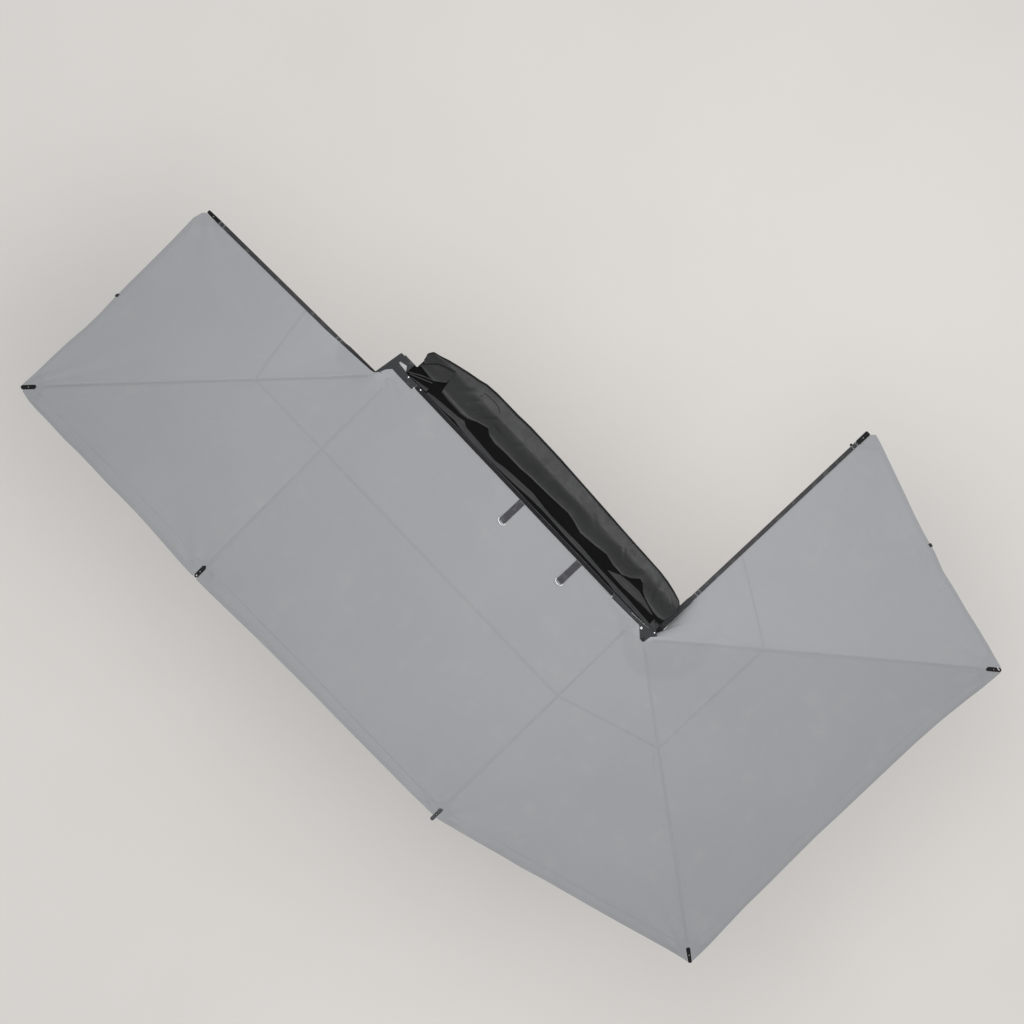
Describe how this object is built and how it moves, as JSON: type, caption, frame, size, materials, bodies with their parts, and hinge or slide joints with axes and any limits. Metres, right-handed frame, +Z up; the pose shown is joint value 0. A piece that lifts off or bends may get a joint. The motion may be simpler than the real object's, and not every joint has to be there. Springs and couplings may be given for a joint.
{
  "type": "vehicle side awning",
  "caption": "Wrap-around side awning for a roof rack: a long case with a hub at each end, folding arms with telescopic legs, a stretched canopy and a storage cover.",
  "frame": {"origin": "centre of the underside of the middle bracket's foot, which rests on the rack", "axes": "+X along the case towards the vehicle's rear, +Y from the awning towards the vehicle, +Z up"},
  "size_m": [5.8375, 3.8962, 0.441],
  "materials": {
    "rail": "dark grey satin anodised",
    "plate": "black satin powder coat",
    "zinc": "bright zinc",
    "arm": "dark bronze-grey satin anodised",
    "plastic": "moulded, fine texture",
    "leg": "plain satin",
    "canopy": "light grey coated canvas",
    "bag": "black coated fabric with a soft shine",
    "webbing": "charcoal woven webbing",
    "chrome": "bright chrome"
  },
  "bodies": {
    "case": {"base_rail": "rail", "keder_rail": "rail", "bracket_front": "plate", "bracket_middle": "plate", "bracket_rear": "plate", "front_top_plate": "plate", "front_hub_bracket": "plate", "rear_top_plate": "plate", "rear_hub_bracket": "plate", "rear_base_plate": "plate", "pin_front_inner": "zinc", "pin_front_outer": "zinc", "pin_rear_inner": "zinc", "pin_rear_outer": "zinc", "pin_rear_end": "zinc", "strap_front": "webbing", "strap_rear": "webbing", "strap_ring_front": "chrome", "strap_ring_rear": "chrome", "bag_lower_flap": "bag", "canopy_panel_3_4": "canopy"},
    "lid": {"bag_lid": "bag"},
    "arm_1": {"arm_1_channel": "arm", "arm_1_knuckle": "plate", "arm_1_tip": "plastic"},
    "arm_2": {"arm_2_channel": "arm", "arm_2_knuckle": "plate", "arm_2_tip": "plastic", "leg_2_pivot_knob": "plastic", "canopy_panel_1_2": "canopy", "canopy_panel_2_3": "canopy"},
    "leg_2": {"leg_2_upper_tube": "leg", "leg_2_collar": "plastic"},
    "leg_2_lower": {"leg_2_lower_tube": "leg"},
    "arm_3": {"arm_3_channel": "arm", "arm_3_knuckle": "plate", "arm_3_tip": "plastic"},
    "arm_4": {"arm_4_channel": "arm", "arm_4_knuckle": "plate", "arm_4_tip": "plastic"},
    "arm_5": {"arm_5_channel": "arm", "arm_5_knuckle": "plate", "arm_5_tip": "plastic", "leg_5_pivot_knob": "plastic", "canopy_panel_4_5": "canopy"},
    "leg_5": {"leg_5_upper_tube": "leg", "leg_5_collar": "plastic"},
    "leg_5_lower": {"leg_5_lower_tube": "leg"},
    "arm_6": {"arm_6_channel": "arm", "arm_6_knuckle": "plate", "arm_6_tip": "plastic", "leg_6_pivot_knob": "plastic", "canopy_panel_5_6": "canopy", "canopy_panel_6_7": "canopy"},
    "leg_6": {"leg_6_upper_tube": "leg", "leg_6_collar": "plastic"},
    "leg_6_lower": {"leg_6_lower_tube": "leg"},
    "arm_7": {"arm_7_channel": "arm", "arm_7_knuckle": "plate", "arm_7_tip": "plastic"}
  },
  "joints": [
    {"name": "arm_1_swing", "type": "hinge", "parent": "case", "child": "arm_1", "pos_m": [-1.241, -0.277, -0.0059], "axis": [0, 0, 1], "range_deg": [0, 177.96]},
    {"name": "arm_2_swing", "type": "hinge", "parent": "case", "child": "arm_2", "pos_m": [-1.241, -0.277, 0.0441], "axis": [0, 0, 1], "range_deg": [0, 131.71], "deforming": ["canopy_panel_1_2", "canopy_panel_2_3"]},
    {"name": "leg_2_hinge", "type": "hinge", "parent": "arm_2", "child": "leg_2", "pos_m": [-2.71249, -1.92856, 0.0317], "axis": [0.7466, -0.6652, 0], "range_deg": [-90, 0]},
    {"name": "leg_2_slide", "type": "slide", "parent": "leg_2", "child": "leg_2_lower", "axis": [-0.6652, -0.7466, 0], "range_m": [-0.78, 0]},
    {"name": "arm_3_swing", "type": "hinge", "parent": "case", "child": "arm_3", "pos_m": [-1.155, -0.24, 0.0941], "axis": [0, 0, 1], "range_deg": [0, 88.31], "deforming": ["canopy_panel_3_4"]},
    {"name": "arm_4_swing", "type": "hinge", "parent": "case", "child": "arm_4", "pos_m": [1.109, -0.175, 0.0691], "axis": [0, 0, -1], "range_deg": [0, 90.81]},
    {"name": "arm_5_swing", "type": "hinge", "parent": "case", "child": "arm_5", "pos_m": [1.234, -0.195, 0.0191], "axis": [0, 0, -1], "range_deg": [0, 144.91], "deforming": ["canopy_panel_4_5"]},
    {"name": "leg_5_hinge", "type": "hinge", "parent": "arm_5", "child": "leg_5", "pos_m": [2.89075, -1.35939, 0.0067], "axis": [0.575, 0.8181, 0], "range_deg": [-90, 0]},
    {"name": "leg_5_slide", "type": "slide", "parent": "leg_5", "child": "leg_5_lower", "axis": [0.8181, -0.575, 0], "range_m": [-0.78, 0]},
    {"name": "arm_6_swing", "type": "hinge", "parent": "case", "child": "arm_6", "pos_m": [1.234, -0.195, -0.0309], "axis": [0, 0, -1], "range_deg": [0, 221.57], "deforming": ["canopy_panel_5_6", "canopy_panel_6_7"]},
    {"name": "leg_6_hinge", "type": "hinge", "parent": "arm_6", "child": "leg_6", "pos_m": [2.91834, 1.29832, -0.0433], "axis": [-0.6634, 0.7483, 0], "range_deg": [-90, 0]},
    {"name": "leg_6_slide", "type": "slide", "parent": "leg_6", "child": "leg_6_lower", "axis": [0.7483, 0.6634, 0], "range_m": [-0.78, 0]},
    {"name": "arm_7_swing", "type": "hinge", "parent": "case", "child": "arm_7", "pos_m": [1.266, -0.066, -0.0613], "axis": [0, 0, -1], "range_deg": [0, 269.7]},
    {"name": "lid_hinge", "type": "hinge", "parent": "case", "child": "lid", "pos_m": [0, -0.0397, 0.095], "axis": [1, 0, 0], "range_deg": [0, 110]}
  ],
  "couplings": [
    {"joint": "arm_1_swing", "follows": "arm_7_swing", "ratio": 0.65981},
    {"joint": "arm_2_swing", "follows": "arm_7_swing", "ratio": 0.48832},
    {"joint": "arm_3_swing", "follows": "arm_7_swing", "ratio": 0.3274},
    {"joint": "arm_4_swing", "follows": "arm_7_swing", "ratio": 0.33667},
    {"joint": "arm_5_swing", "follows": "arm_7_swing", "ratio": 0.53726},
    {"joint": "arm_6_swing", "follows": "arm_7_swing", "ratio": 0.82151}
  ]
}
